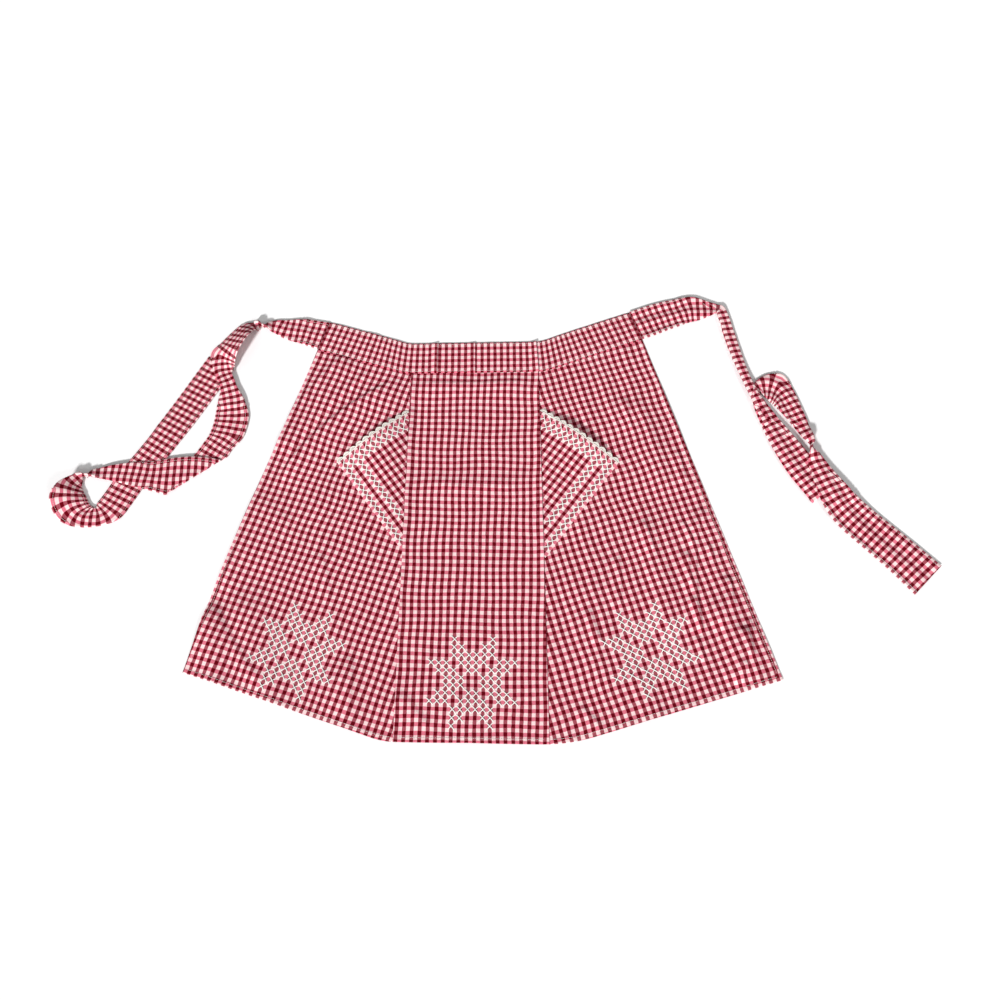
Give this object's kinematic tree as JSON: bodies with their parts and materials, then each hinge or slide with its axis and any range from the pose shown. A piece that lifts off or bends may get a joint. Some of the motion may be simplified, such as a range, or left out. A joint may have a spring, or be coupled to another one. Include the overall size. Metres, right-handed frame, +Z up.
{
  "type": "waist apron",
  "caption": "Waist apron of checked cotton with a flared panelled skirt, pockets set into its seams and long loose ties, laid flat.",
  "frame": {"origin": "middle of the waistband's underside, on the surface that the apron lies on", "axes": "+Z up from that surface, +Y up the apron from the hem to the waistband, +X to the right of the apron seen from above"},
  "size_m": [1.2305, 0.6791, 0.0181],
  "materials": {
    "gingham": "matt woven cotton, red and white checks",
    "pocket_gingham": "matt woven cotton, red and white checks",
    "tie_gingham": "matt woven cotton, red and white checks",
    "white_trim": "matt cotton edging, off-white"
  },
  "bodies": {
    "root": {"waistband": "gingham", "centre_panel": "gingham", "left_side_panel": "gingham", "right_side_panel": "gingham", "left_pocket": "pocket_gingham", "right_pocket": "pocket_gingham", "left_pocket_trim": "white_trim", "right_pocket_trim": "white_trim", "left_tie": "tie_gingham", "right_tie": "tie_gingham"}
  },
  "joints": []
}
